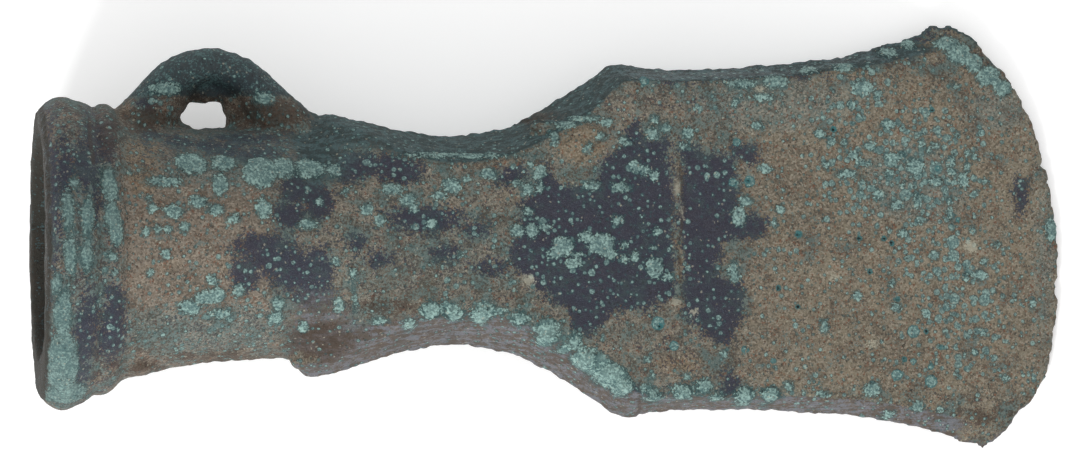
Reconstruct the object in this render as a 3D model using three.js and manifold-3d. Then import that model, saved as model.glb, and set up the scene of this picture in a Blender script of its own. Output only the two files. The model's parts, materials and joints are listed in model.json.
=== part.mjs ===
// A looped socketed axe head of cast bronze, lying on its back face as it rests on a table.
//
// The axe is described in its own frame, in millimetres: x runs along the socket's axis from the mouth (0)
// to the cutting edge, +y is the side with the loop, and z is the thickness, 0 at the mould seam. Front and
// back are alike. At the end the axe is laid down: turned about y until the back of the blade is level.
import * as THREE from 'three';
import { mergeVertices } from 'three/addons/utils/BufferGeometryUtils.js';
import Module from 'manifold-3d';

// ---- Driving dimensions ----
const BRONZE = { color: 0x6f675a, roughness: 0.78, metalness: 0.35 };
const EDGE_REACH = 130; // mouth to the furthest point of the cutting edge
const WING_END = 77; // where the wings end and the blade begins
const NECK_END = 31; // where the round neck begins to turn into the winged waist
const COLLAR_CREST = 3; // x of the collar's widest rib, which is what the mouth end rests on
const COLLAR_DEPTH = 17.6; // half thickness at that rib
const EDGE_HALF_THICKNESS = 0.5; // of the blunt, corroded cutting edge
const FACE_HALF_THICKNESS_AT_EDGE = 0.9; // what the flat of the blade would have there without its bevel
const FACE_SLOPE = (COLLAR_DEPTH - FACE_HALF_THICKNESS_AT_EDGE) / (EDGE_REACH - COLLAR_CREST);
const LIE_ANGLE = Math.atan(FACE_SLOPE); // the turn about y that lays the back of the blade level
const EDGE_BEVEL_SLOPE = 0.26; // half thickness gained inward from the hammered cutting edge
const EDGE_BEVEL_SOFTNESS = 0.2; // of the shoulder where the bevel meets the flat

// Half widths of the outline, as [x, y] on the loop side and on the plain side.
const LOOP_SIDE = [
  [0, 16.6], [COLLAR_CREST, 17.6], [7, 16.7], [8.5, 16.5], [12, 15], [16, 14.4], [22, 14.1], [NECK_END, 14.6],
  [36, 15.9], [40, 15.2], [46, 13.8], [53, 13.2], [59, 14], [62, 15.4], [65, 17.2], [70, 20.2], [73.2, 22.2],
  [78.5, 21.4], [90, 21.8], [102, 23.1], [110, 25.4], [115, 27.9],
];
const PLAIN_SIDE = [
  [0, 19.4], [COLLAR_CREST, 20.5], [7, 19], [8.5, 18.2], [12, 16.8], [16, 15.8], [24, 14.8], [NECK_END, 14.6],
  [33.9, 17.1], [40, 15.6], [46, 13.9], [53, 13.1], [59, 14.2], [65, 16.8], [70, 20.1], [74.5, 22.5],
  [78.5, 21.5], [90, 21.6], [102, 22.2], [110, 23.7], [115, 25.2], [119.6, 27.2],
];
// What the axe lies on, from the collar's crest to the edge, is a plane: its half thickness at x. The flat of
// the blade stands a little clear of it, so that the axe rests on the crest and on two pads by the corners.
const lyingPlane = (x) => COLLAR_DEPTH - FACE_SLOPE * (x - COLLAR_CREST);
const BLADE_CLEARANCE = 0.2;
const bladePlane = (x) => lyingPlane(x) - BLADE_CLEARANCE;
const PAD = { x: 106, y: 17, radius: 9, height: 0.25 };
// Half thickness along the middle of the face, up to the blade.
const FACE_DEPTH = [[0, 16.4], [COLLAR_CREST, COLLAR_DEPTH], [7, 16.1], [8.5, 15.7], [12, 14.5], [18, 13.9],
  [NECK_END, 12.9], [42, 11.6], [54, 10.2], [66, 8.95], [WING_END, bladePlane(WING_END)]];
// The wings' front edges: how far they stand in from the outline, and how high, as a share of the thickness.
const FACET_LOOP_SIDE = [[NECK_END, 0.3], [39, 1.4], [46, 3.3], [52, 3.8], [59, 3.5], [67, 4.2], [71, 3.5],
  [75, 2], [79, 1.7], [105, 1.5], [115, 3]];
const FACET_PLAIN_SIDE = [[NECK_END, 0.3], [35, 0.8], [40, 2.4], [46, 3.3], [52, 3.5], [66, 3.2], [74, 2.7],
  [79, 1.3], [108, 1.5], [119.6, 2.6]];
const RIDGE_HEIGHT = [[NECK_END, 0.1], [34.5, 0.16], [38, 0.42], [43, 0.72], [50, 0.88], [64, 0.9],
  [84, 0.94]];
// The cutting edge's x, for each share of the blade's half width, from the plain side (-1) to the loop side.
const CUTTING_EDGE = [[-1, 119.4], [-0.94, 121.8], [-0.8, 125.6], [-0.6, 128.6], [-0.2, EDGE_REACH],
  [0.15, 129.4], [0.34, 128.4], [0.55, 126.6], [0.79, 122.6], [0.92, 119.2], [1, 115.2]];

// Ribs cast round the collar: [crest, half length, height].
const COLLAR_RIBS = [[2.7, 2.4, 0.7], [5.5, 1.2, 0.5], [8.5, 1.4, 0.8]];
const WING_LIP = 0.35; // how proud the wings' edges stand of the face
const WING_LIP_WIDTH = 0.22; // as a share of the face's half width
const WING_RISE = [32, 38]; // x over which that lip rises
const WING_FALL = [70, 76]; // and over which it fades into the blade
const FACETING = [NECK_END - 2, NECK_END + 3.5]; // x over which the round section turns into the faceted one
const FLATTENING = [60, 82]; // x over which the crowned face turns into the flat blade
const CROWNED = 2; // exponent of the face's crown at the waist
const FLAT = 7; // and on the blade
const FACET_BELLY = 1.25; // exponent of the side facets' slight fullness

// The socket: [x, half width, half depth], tapering to a rounded wedge.
const SOCKET = [[-4, 15, 13.4], [0, 14.4, 12.8], [6, 13.2, 12], [12, 12.5, 11.4], [30, 11.2, 9.6],
  [50, 8.8, 6.5], [68, 6.6, 3.4], [74, 5.6, 2.2], [77, 4, 1]];
const SOCKET_CENTRE_SHIFT = -0.4; // the core stood a little towards the plain side
const SOCKET_SQUARENESS = 2.4; // superellipse exponent of its section

// The loop: its centre line as [x, y, radial half thickness, half width].
const LOOP = [[10.5, 11.2, 4.4, 4.6], [14.4, 16.3, 3.5, 4.3], [17.6, 20.4, 2.7, 4], [21.9, 21.9, 2.4, 3.8],
  [26.1, 20.3, 2.5, 3.9], [29, 16.9, 3.2, 4.2], [32.5, 12.4, 4.1, 4.4]];

// ---- Resolution ----
const FACET_STEPS = 4; // points round each side facet
const FACE_STEPS = 7; // points from each ridge to the middle of the face
const RUNS = [[0.4, 1], [2.7, 4], [4.6, 4], [6.7, 5], [10, 8], [NECK_END, 8], [38, 7], [WING_END, 20]];
const BLADE_STEPS = 15;
const BLADE_CROWDING = 1.4; // over 1 sets the steps closer together towards the cutting edge
const LOOP_STEPS = 22;
const LOOP_SIDES = 18;
const SOCKET_STEPS = 12;
const SOCKET_SIDES = 36;

// A curve through [x, y] points that never overshoots them (a monotone cubic).
function curveThrough(points) {
  const slopes = points.slice(1).map(([x, y], i) => (y - points[i][1]) / (x - points[i][0]));
  const tangents = points.map((_, i) => {
    const before = slopes[Math.max(i - 1, 0)];
    const after = slopes[Math.min(i, slopes.length - 1)];
    return before * after <= 0 ? 0 : (2 * before * after) / (before + after);
  });
  return (x) => {
    const held = THREE.MathUtils.clamp(x, points[0][0], points.at(-1)[0]);
    const i = Math.max(points.findLastIndex(([start], n) => start <= held && n < points.length - 1), 0);
    const span = points[i + 1][0] - points[i][0];
    const t = (held - points[i][0]) / span;
    return (
      points[i][1] * (1 + 2 * t) * (1 - t) ** 2 +
      tangents[i] * span * t * (1 - t) ** 2 +
      points[i + 1][1] * t * t * (3 - 2 * t) +
      tangents[i + 1] * span * t * t * (t - 1)
    );
  };
}

// A column of a table as a curve over its first column.
const column = (table, n) => curveThrough(table.map((row) => [row[0], row[n]]));

const outline = { 1: curveThrough(LOOP_SIDE), '-1': curveThrough(PLAIN_SIDE) };
const facetWidth = { 1: curveThrough(FACET_LOOP_SIDE), '-1': curveThrough(FACET_PLAIN_SIDE) };
const crownDepth = curveThrough(FACE_DEPTH);
const faceDepth = (x) => Math.min(crownDepth(x), x < NECK_END ? lyingPlane(x) : bladePlane(x));
const ridgeHeight = curveThrough(RIDGE_HEIGHT);
const cuttingEdge = curveThrough(CUTTING_EDGE);

// How far the collar's ribs stand out at x.
function ribHeight(x) {
  return COLLAR_RIBS.reduce((most, [crest, half, height]) => {
    const off = (x - crest) / half;
    return Math.max(most, Math.abs(off) < 1 ? height * Math.sqrt(1 - off * off) : 0);
  }, 0);
}

// One point of a section's quadrant. share runs from the seam (0) over the ridge to mid-face (1).
function quadrantPoint(x, side, share) {
  const ridgeShare = FACET_STEPS / (FACET_STEPS + FACE_STEPS);
  const ribs = ribHeight(x);
  const width = outline[side](x) + ribs;
  const depth = Math.min(faceDepth(x) + ribs, lyingPlane(x)); // nothing stands below what it lies on
  const angle = (share * Math.PI) / 2;
  const round = { y: width * Math.cos(angle), z: depth * Math.sin(angle) };

  const ridgeY = width - facetWidth[side](x);
  const ridgeZ = depth * ridgeHeight(x);
  let faceted;
  if (share <= ridgeShare) {
    const up = share / ridgeShare;
    faceted = { y: THREE.MathUtils.lerp(width, ridgeY, up ** FACET_BELLY), z: ridgeZ * up };
  } else {
    const out = 1 - (share - ridgeShare) / (1 - ridgeShare);
    const lip = WING_LIP * Math.exp(-(((1 - out) / WING_LIP_WIDTH) ** 2)) * wingness(x);
    faceted = { y: ridgeY * out, z: depth + (ridgeZ - depth) * out ** crownPower(x) + lip };
  }
  const turned = THREE.MathUtils.smoothstep(x, ...FACETING);
  return {
    y: side * THREE.MathUtils.lerp(round.y, faceted.y, turned),
    z: THREE.MathUtils.lerp(round.z, faceted.z, turned),
  };
}

const wingness = (x) =>
  THREE.MathUtils.smoothstep(x, ...WING_RISE) * (1 - THREE.MathUtils.smoothstep(x, ...WING_FALL));
const crownPower = (x) => THREE.MathUtils.lerp(CROWNED, FLAT, THREE.MathUtils.smoothstep(x, ...FLATTENING));

// The lesser of two lengths, with the corner between them rounded off.
const softMin = (a, b, softness) => -softness * Math.log(Math.exp(-a / softness) + Math.exp(-b / softness));

// A point of the blade. s runs from the end of the wings (0) to the cutting edge (1), which bows forward.
function bladePoint(s, side, share) {
  const sideX = THREE.MathUtils.lerp(WING_END, cuttingEdge(side), s);
  const flat = quadrantPoint(sideX, side, share);
  const edgeX = cuttingEdge(flat.y / outline[side](sideX));
  const x = THREE.MathUtils.lerp(WING_END, edgeX, s);
  const bevel = EDGE_HALF_THICKNESS + EDGE_BEVEL_SLOPE * (edgeX - x);
  const halfThickness = softMin(bladePlane(x), bevel, EDGE_BEVEL_SOFTNESS);
  const z = (halfThickness * flat.z) / faceDepth(sideX);
  return { x, y: flat.y, z: share > 0 ? z + padHeight(x, flat.y) : z };
}

// How far the nearest resting pad rises at a point of the blade.
function padHeight(x, y) {
  const off = Math.hypot(x - PAD.x, Math.abs(y) - PAD.y) / PAD.radius;
  return off < 1 ? PAD.height * (1 - off * off) ** 2 : 0;
}

// Closes a stack of rings into a solid. Every ring lists its points in the same order, and is alike on both
// sides of its first point, so a cap can be laced across it from each point to its opposite, even if it bows.
function skin(rings) {
  const around = rings[0].length;
  const positions = rings.flat();
  const faces = [];
  for (let r = 0; r < rings.length - 1; r++) {
    for (let i = 0; i < around; i++) {
      const [a, b] = [r * around + i, r * around + ((i + 1) % around)];
      faces.push(a, b, a + around, b, b + around, a + around);
    }
  }
  for (const [ring, flip] of [[0, true], [rings.length - 1, false]]) {
    const corner = (i) => ring * around + (i % around);
    const cap = (a, b, c) => faces.push(...(flip ? [c, b, a] : [a, b, c]));
    for (let i = 0; i < around / 2; i++) {
      if (i < around / 2 - 1) cap(corner(i), corner(i + 1), corner(around - i - 1));
      if (i > 0) cap(corner(i), corner(around - i - 1), corner(around - i));
    }
  }
  const geometry = new THREE.BufferGeometry().setFromPoints(positions);
  geometry.setIndex(faces);
  return geometry;
}

// The order in which a ring goes round the section: seam, front, seam, back.
function ringShares() {
  const steps = FACET_STEPS + FACE_STEPS;
  const quarter = Array.from({ length: steps }, (_, i) => i / steps);
  const back = quarter.map((share) => 1 - share);
  return [
    ...quarter.map((share) => ({ side: 1, face: 1, share })),
    ...back.map((share) => ({ side: -1, face: 1, share })),
    ...quarter.map((share) => ({ side: -1, face: -1, share })),
    ...back.map((share) => ({ side: 1, face: -1, share })),
  ];
}

function bodyGeometry() {
  const around = ringShares();
  const stations = [0];
  for (const [end, steps] of RUNS) {
    const start = stations.at(-1);
    for (let i = 1; i <= steps; i++) stations.push(THREE.MathUtils.lerp(start, end, i / steps));
  }
  const rings = stations.map((x) =>
    around.map(({ side, face, share }) => {
      const { y, z } = quadrantPoint(x, side, share);
      return new THREE.Vector3(x, y, face * z);
    }),
  );
  for (let i = 1; i <= BLADE_STEPS; i++) {
    rings.push(
      around.map(({ side, face, share }) => {
        const { x, y, z } = bladePoint(1 - (1 - i / BLADE_STEPS) ** BLADE_CROWDING, side, share);
        return new THREE.Vector3(x, y, face * z);
      }),
    );
  }
  return skin(rings);
}

function socketGeometry() {
  const halfWidth = column(SOCKET, 1);
  const halfDepth = column(SOCKET, 2);
  const [start, end] = [SOCKET[0][0], SOCKET.at(-1)[0]];
  const rings = Array.from({ length: SOCKET_STEPS + 1 }, (_, i) => {
    const x = THREE.MathUtils.lerp(start, end, Math.sin((i / SOCKET_STEPS) * (Math.PI / 2)));
    return Array.from({ length: SOCKET_SIDES }, (_, j) => {
      const angle = (j / SOCKET_SIDES) * 2 * Math.PI;
      const [c, s] = [Math.cos(angle), Math.sin(angle)];
      const squared = Math.abs(c) ** SOCKET_SQUARENESS + Math.abs(s) ** SOCKET_SQUARENESS;
      const reach = squared ** (-1 / SOCKET_SQUARENESS);
      return new THREE.Vector3(x, SOCKET_CENTRE_SHIFT + c * reach * halfWidth(x), s * reach * halfDepth(x));
    });
  });
  return skin(rings);
}

function loopGeometry() {
  const points = LOOP.map(([x, y]) => new THREE.Vector3(x, y, 0));
  const line = new THREE.CatmullRomCurve3(points, false, 'centripetal');
  const atStart = (n) => curveThrough(LOOP.map((row, i) => [i / (LOOP.length - 1), row[n]]));
  const [radial, half] = [atStart(2), atStart(3)];
  const rings = Array.from({ length: LOOP_STEPS + 1 }, (_, i) => {
    const t = i / LOOP_STEPS;
    const centre = line.getPoint(t);
    const along = line.getTangent(t);
    return Array.from({ length: LOOP_SIDES }, (_, j) => {
      const angle = (j / LOOP_SIDES) * 2 * Math.PI;
      const out = radial(t) * Math.cos(angle);
      return new THREE.Vector3(centre.x - along.y * out, centre.y + along.x * out, half(t) * Math.sin(angle));
    });
  });
  return skin(rings);
}

// ---- Casting it as one ----
const wasm = await Module();
wasm.setup();

function solid(geometry) {
  geometry.deleteAttribute('normal');
  geometry.deleteAttribute('uv');
  const merged = mergeVertices(geometry, 1e-4);
  return new wasm.Manifold(
    new wasm.Mesh({
      numProp: 3,
      vertProperties: merged.attributes.position.array,
      triVerts: new Uint32Array(merged.index.array),
    }),
  );
}

function geometryOf(manifold) {
  const { numProp, vertProperties, triVerts } = manifold.getMesh();
  const geometry = new THREE.BufferGeometry();
  geometry.setAttribute('position', new THREE.BufferAttribute(vertProperties, numProp));
  geometry.setIndex(new THREE.BufferAttribute(triVerts, 1));
  geometry.computeVertexNormals();
  return geometry;
}

const casting = solid(bodyGeometry()).add(solid(loopGeometry())).subtract(solid(socketGeometry()));

const axeHead = new THREE.Mesh(geometryOf(casting), new THREE.MeshStandardMaterial(BRONZE));
axeHead.name = 'axe_head';
axeHead.rotation.y = LIE_ANGLE;

// The origin is on the table, under the middle of the axe's bounding box.
const lying = new THREE.Group();
lying.add(axeHead);
const box = new THREE.Box3().setFromObject(lying, true);
const middle = box.getCenter(new THREE.Vector3());
axeHead.position.set(-middle.x, -middle.y, -box.min.z);

export default lying;
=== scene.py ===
import json
import math

import bpy
import numpy as np
from mathutils import Matrix, Vector, noise


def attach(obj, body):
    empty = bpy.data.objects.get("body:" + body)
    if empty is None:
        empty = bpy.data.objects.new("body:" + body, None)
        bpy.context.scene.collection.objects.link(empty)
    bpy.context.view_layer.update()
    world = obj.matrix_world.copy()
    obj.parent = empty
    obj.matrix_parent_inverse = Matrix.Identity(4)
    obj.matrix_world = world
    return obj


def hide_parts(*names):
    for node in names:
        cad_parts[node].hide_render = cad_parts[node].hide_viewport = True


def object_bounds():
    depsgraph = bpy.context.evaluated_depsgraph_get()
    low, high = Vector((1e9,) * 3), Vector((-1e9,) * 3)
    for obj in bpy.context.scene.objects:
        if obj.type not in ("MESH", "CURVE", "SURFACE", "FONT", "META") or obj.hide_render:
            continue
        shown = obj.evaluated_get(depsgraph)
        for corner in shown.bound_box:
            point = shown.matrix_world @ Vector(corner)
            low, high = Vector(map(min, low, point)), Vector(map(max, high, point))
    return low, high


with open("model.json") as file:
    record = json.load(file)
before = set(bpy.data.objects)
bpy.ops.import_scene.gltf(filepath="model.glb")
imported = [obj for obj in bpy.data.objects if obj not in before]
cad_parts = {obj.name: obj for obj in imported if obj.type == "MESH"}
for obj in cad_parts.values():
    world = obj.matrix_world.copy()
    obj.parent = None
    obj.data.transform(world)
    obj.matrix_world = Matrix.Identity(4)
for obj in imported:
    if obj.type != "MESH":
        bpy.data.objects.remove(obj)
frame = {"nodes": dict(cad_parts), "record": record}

cad_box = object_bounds()
MM = 0.001
SEED = 7

# ---- The axe's own frame ----
# The haft's seat is on the mouth's plane at the seam's height, SEAT_OFFSET towards the plain side.
SEAT_OFFSET = 17.1
seat = next(m for m in frame["record"]["mounts"] if m["name"] == "haft_seat")
SLOPE = math.atan2(seat["axis"][2], -seat["axis"][0])
SEAT_X, SEAT_Y, SEAT_Z = [value / MM for value in seat["pos_m"]]
ALONG = SEAT_X * math.cos(SLOPE) - SEAT_Z * math.sin(SLOPE)
ABOVE = SEAT_X * math.sin(SLOPE) + SEAT_Z * math.cos(SLOPE)
ACROSS = SEAT_Y + SEAT_OFFSET


def to_axe(points):
    """Points in metres, one a row, as millimetres in the axe's own frame."""
    x, y, z = (points / MM).T
    along = x * math.cos(SLOPE) - z * math.sin(SLOPE) - ALONG
    above = x * math.sin(SLOPE) + z * math.cos(SLOPE) - ABOVE
    return np.stack([along, y - ACROSS, above], axis=1)


def from_axe(x, y, z):
    """A place in the axe's own frame, in millimetres, as a place in metres."""
    along, above = x + ALONG, z + ABOVE
    c, s = math.cos(SLOPE), math.sin(SLOPE)
    return Vector((along * c + above * s, y + ACROSS, -along * s + above * c)) * MM


# ---- Where the crust shows what: (x, y, half length, half width) ----
DARK_MIDDLE = [
    (58.5, -3), (59.5, 0), (60.5, 4), (63, 8), (65, 6.5), (69, 6.5), (71, 9.5), (73, 11), (74.7, 14.5),
    (76, 11.7), (78.8, 12), (79.2, 6), (79, -8), (75.5, -9), (72, -9), (69, -12), (67, -12.5), (66, -9),
    (62, -6.5),
]
DARK_RIGHT = [
    (80.3, 3.5), (81, 12), (83.5, 10.3), (87.3, 10), (87.5, 5), (88, 3), (91.5, 2.3), (91, 0.3),
    (85, -0.5),
    (84.8, -5), (88, -6), (87.8, -10), (86, -13), (83.5, -12.5), (80.7, -10), (81, -1), (80, 2.5),
]
DARK_PATCHES = [
    (26.5, 12.6, 3.5, 0.7),
    (27, -1.5, 3, 1.3), (28.5, -3, 3.6, 1.5), (25, -5, 1.6, 1.8), (31, -4.5, 3.2, 2.2),
    (34, -4.5, 1.8, 2.8),
    (33, -7.5, 2.4, 1.1), (30.5, 2.5, 1.7, 1.4), (31.5, 6, 1.5, 1.7), (34, 4.5, 1.6, 2.6),
    (39, 8.7, 2.5, 1.7),
    (44, 8.5, 3, 1.9), (47.7, 2, 4, 1.4), (58.5, 7.5, 1.4, 0.9), (72, -4, 6, 4), (76, 4, 2.8, 6),
    (89, 10.5, 1.4, 1),
    (86.5, -18.5, 1, 1.3), (17.2, 12.2, 1.4, 0.6), (20.5, 11.7, 1.5, 0.6), (23, 11, 1.8, 0.6),
    (27.2, 10.4, 2, 0.6),
    (38.8, -1, 0.8, 0.8), (42, -3, 1.2, 0.6), (50, -2, 1.4, 0.7), (54, 0.5, 1, 0.6), (56, -4, 1.2, 0.5),
    (5.1, -12, 1.1, 3.8), (0.8, 6, 0.5, 6), (6.1, 10, 0.4, 4), (4.8, -17, 0.7, 1.1), (8.3, -11, 1.5, 4),
    (4.8, 8.5, 0.9, 2.6), (2.3, 8, 0.9, 3.2), (8, 12.5, 1.3, 2.6),
    (124.8, 5.5, 0.8, 1.5), (13.8, 12.8, 1.2, 0.7), (13.5, 17.3, 1, 0.8), (24, 19.5, 3, 0.8),
    (74.3, -19.8, 1.3, 0.6), (79, 20.6, 4, 0.6),
    (88, 20.8, 5, 0.6), (95, 20.9, 2.5, 0.5), (102, 23.4, 5, 0.7), (109, 25.6, 4, 0.7),
]
MINT_PATCHES = [
    # the collar's ribs
    (2.6, 2.8, 0.8, 2.6), (2.9, -2.6, 0.8, 2.2), (2, -10, 1, 3), (2.2, -15.5, 2, 3.6), (3, -19, 2.4, 1.2),
    (5.1, 2.2, 0.7, 2.6), (5, -2.6, 0.6, 2), (3.4, 6.5, 0.5, 0.7), (1.2, -6, 0.6, 1.2),
    (8, 6, 0.9, 2.2), (8.1, 2.3, 0.9, 1.5), (8.6, 0.3, 0.8, 1.6), (8.3, -2.8, 0.5, 0.5),
    (7.3, -4.5, 0.4, 0.4), (8.5, -4.8, 0.4, 0.4),
    # the neck
    (18.5, 9, 2, 1.2), (22.5, 9.2, 1.5, 1), (27, 7.8, 2, 2.1), (30, 8.5, 1.3, 1.4), (33.5, 8.5, 1.8, 1.2),
    (36.5, 8.3, 0.8, 0.8), (15, 6.7, 2.2, 0.6), (22, 6.3, 1, 1.4), (19, 4.2, 1.1, 0.7), (16, 3, 1.3, 0.9),
    (21.2, 3.2, 1.1, 0.7), (23.6, 2, 0.9, 0.5), (27.3, 3.2, 1, 1.2), (12.8, 4.5, 0.5, 0.5),
    (13.2, 3.3, 0.5, 0.5),
    (13.9, 0.7, 0.5, 0.5), (12.4, 0.4, 0.5, 0.5), (15.3, 0.7, 0.5, 0.5), (17.2, 1, 0.5, 0.5),
    (14.7, -2.5, 0.6, 0.6), (13, -4.6, 0.4, 0.4), (20.6, -5.5, 0.6, 0.6), (18, -8.8, 1.5, 0.9),
    (20, -7.5, 1.5, 0.8), (21.5, -7.2, 1, 0.9), (22, -9.5, 1.5, 0.5), (24.3, -6.8, 0.8, 0.8),
    (29, -8.5, 0.8, 0.8),
    (29, -10, 0.8, 0.8), (32.6, -11.2, 0.6, 0.6), (32.7, 1.2, 1.3, 0.5), (34.2, 4.2, 0.5, 0.5),
    (37.5, 5.5, 0.5, 0.5), (36.3, -3.1, 0.5, 0.5), (36.7, -8.5, 0.6, 0.9), (38.7, -7.5, 0.3, 1.3),
    (38.5, -4.5, 0.4, 0.5), (16, 19, 1.9, 0.8), (28.2, 17.6, 1.2, 0.6),
    # the waist
    (43.5, 5.8, 1.3, 0.6), (45.5, 4.3, 0.9, 0.7), (46.3, 3.3, 0.5, 0.5), (51.2, 6.2, 1.1, 0.9),
    (49.5, 5, 1, 0.6),
    (53, 7.2, 0.4, 0.4), (55.8, 7.8, 0.9, 0.6), (59.3, 6.5, 0.6, 0.4), (62.3, 7.8, 0.9, 0.8),
    (61, 8.8, 0.4, 0.4),
    (48.5, 1.5, 0.7, 0.6), (40.4, 3.3, 0.8, 0.7), (42, 1.8, 0.6, 0.6), (52, -2.3, 0.4, 0.4),
    (52.5, 10.2, 5.5, 0.35),
    # the crusted edge of the lower wing
    (42, -10.5, 1, 0.4), (48.5, -9.3, 1.3, 0.9), (50.3, -8.7, 0.8, 0.5), (51.3, -9.7, 1.3, 0.6),
    (55, -9.6, 1.5, 0.7), (57, -9.3, 1, 0.4), (59.7, -10.3, 0.9, 0.8), (63, -11.2, 1.1, 1),
    (63.3, -12.8, 1.2, 0.7),
    (66.7, -13, 0.8, 1), (65.4, -14, 0.8, 0.5), (67.5, -15.2, 1.2, 1), (69.5, -16, 1.8, 1.2),
    (71.5, -17.5, 1.8, 1.4),
    (72.8, -18.8, 1.2, 1.2), (75.8, -19.3, 0.8, 0.7), (77, -20.2, 1, 0.4), (80.3, -19.5, 1.2, 0.8),
    (83, -19, 1, 0.9), (85, -20.2, 1, 0.4), (88.5, -20, 1.3, 0.8), (91.8, -19.8, 1.2, 0.9),
    (94.3, -18.8, 0.7, 0.7),
    (98.7, -19.9, 0.7, 0.4), (107.5, -22.3, 0.6, 0.4),
    # on the dark middle
    (70, -1, 1.7, 1.3), (71, -2.3, 1, 0.6), (65.2, -1.2, 1.4, 1), (64, -2.2, 1, 0.6),
    (67.2, -2.4, 0.6, 0.4),
    (66.5, -3.3, 1, 0.7), (68, 0, 0.8, 0.6), (72.3, 1.9, 0.8, 0.6), (74.7, 8.8, 0.7, 0.6),
    (75.8, 8.4, 0.6, 0.5),
    (77, 7.7, 0.6, 0.6), (69, 6.4, 1, 0.6), (73, 6.2, 1.2, 0.5), (76.8, -4, 1, 1.3),
    (78.5, -5.3, 0.8, 0.5),
    (76.9, -1.3, 0.4, 0.4), (77.3, 0.7, 0.5, 0.5), (73, -1.1, 0.4, 0.4), (72.9, -2.8, 0.5, 0.5),
    (74.5, -2.4, 0.5, 0.5), (60.8, 5.8, 0.8, 0.6), (62.4, 6, 0.5, 0.5), (60.8, 3, 0.5, 0.5),
    (63, 1, 0.7, 0.4),
    (61.2, 0.7, 0.8, 0.9), (59.3, 0.6, 0.9, 0.8), (64.3, 12.2, 0.5, 1), (65.8, 14, 1.3, 0.45),
    (68.4, 14.8, 1.6, 0.45), (70.9, 14.2, 0.9, 0.5), (68.6, 11, 0.5, 0.7), (70.4, 12.3, 0.8, 0.5),
    # the blade's inner part
    (77, 12.9, 0.9, 0.7), (78.6, 13.7, 0.6, 0.6), (77.3, 14.7, 0.5, 0.5), (81.5, 13, 0.7, 0.7),
    (81.1, 11.3, 0.6, 0.4), (73.3, 11.8, 0.7, 0.5), (90.5, 14, 0.8, 0.5), (91.2, 17.7, 1.5, 0.5),
    (93, 19.5, 1.5, 0.7), (88.5, 19.3, 1.8, 0.5), (87.5, 17, 0.4, 0.4), (91.5, 8.7, 0.8, 0.4),
    (89, 4.5, 0.8, 0.7),
    (88, 2.5, 0.9, 1.1), (93.3, 3.3, 0.6, 0.6), (92.6, 1.6, 0.4, 0.4), (87, -4, 0.6, 0.9),
    (87.3, -5.2, 0.6, 0.6),
    (75.8, -15.4, 0.4, 0.4), (76.4, -17.6, 0.4, 0.4), (81, -17.6, 0.6, 0.4), (85.7, -14.6, 0.5, 0.5),
    (98.8, -11.3, 0.5, 0.8),
    # the blade's outer part
    (98.8, 13.2, 0.7, 0.7), (100.3, 12.2, 0.5, 0.5), (101.8, 11.9, 0.4, 0.6), (103, 10.4, 0.8, 0.5),
    (102, 8, 1.3, 0.5), (99.3, 9, 0.5, 0.5), (104, 6.5, 0.5, 0.9), (104.4, 9.4, 0.8, 0.4),
    (105.3, 11.6, 0.8, 0.5),
    (108.8, 10.2, 1.3, 0.5), (111.3, 8.9, 1.1, 1), (107.8, 8.1, 0.6, 0.4), (106.3, 5.3, 0.9, 0.5),
    (108.7, 4, 0.9, 0.5), (111.5, 4.5, 0.5, 0.8), (109.5, 6.4, 0.4, 0.4), (113.7, 7, 0.9, 0.6),
    (116, 8.5, 0.6, 0.4),
    (117.5, 7.2, 0.6, 0.9), (118, 9, 0.4, 0.6), (115.9, 9.7, 0.6, 0.6), (112, 11.9, 0.4, 0.4),
    (113, 11.1, 0.4, 0.4),
    (114, 11.7, 0.4, 0.4), (118, 10.9, 0.5, 0.5), (119, 10.5, 0.4, 0.4), (116.7, 13, 0.4, 0.4),
    (116.8, 19.2, 0.4, 0.4), (104.2, 18.8, 1.2, 0.9), (106.2, 18.1, 0.6, 0.4), (102.8, 16.8, 0.5, 0.5),
    (107.8, 14.3, 1, 0.5), (118.8, 5.5, 0.5, 0.5), (120.4, 7.2, 0.4, 0.4), (115.4, 4.7, 0.4, 0.4),
    (115.3, 3.1, 0.4, 0.8), (111.8, 2.2, 0.5, 0.5), (109.5, 0.5, 0.6, 0.6), (118.6, 1, 0.5, 0.5),
    (121.9, -0.8, 0.4, 0.4), (113.5, -2.5, 0.6, 0.6), (120, -3, 0.4, 0.4), (119.5, -4.8, 0.8, 0.6),
    (117.8, -5, 0.4, 0.6), (107.7, -6, 0.5, 0.5), (103.3, -7.5, 0.6, 0.6), (108.3, -9, 0.7, 0.5),
    (112.2, -9.6, 0.6, 0.6), (114.8, -11.8, 0.4, 0.4), (119.6, -12, 0.5, 0.5), (118.8, -14.5, 0.4, 0.4),
    (116.3, -17.7, 0.4, 0.4), (122.8, -18, 0.4, 0.4), (105, -19.3, 1, 0.8), (111, -21.4, 0.7, 0.7),
    (114, -21.8, 0.4, 0.4), (126.4, -8.3, 0.5, 0.5), (116, 24.8, 1.8, 0.9), (117.5, 23.5, 1.5, 1.3),
    (119.3, 22.3, 1.2, 1.1), (121, 20.5, 1.5, 1.2), (122.8, 19, 1.2, 1), (129, 1, 0.8, 1.6),
    (102, 21.5, 1.2, 0.6),
    (97.5, 21.2, 1, 0.5), (108, 23.5, 1, 0.5), (111, 24.7, 1, 0.5),
]
# Dark pits, each with a blue-green rim.
PITS = [
    (95.5, -8.9), (93, -6.5), (103.7, -0.2), (106.9, -0.2), (107.9, -0.8), (105, -4.4), (108.6, -7.9),
    (109.4, -15.5), (112.3, -12), (113.5, 16.2), (95.7, 0.3), (100.5, 13.6), (89.2, 7), (77.6, -11.3),
]
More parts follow.
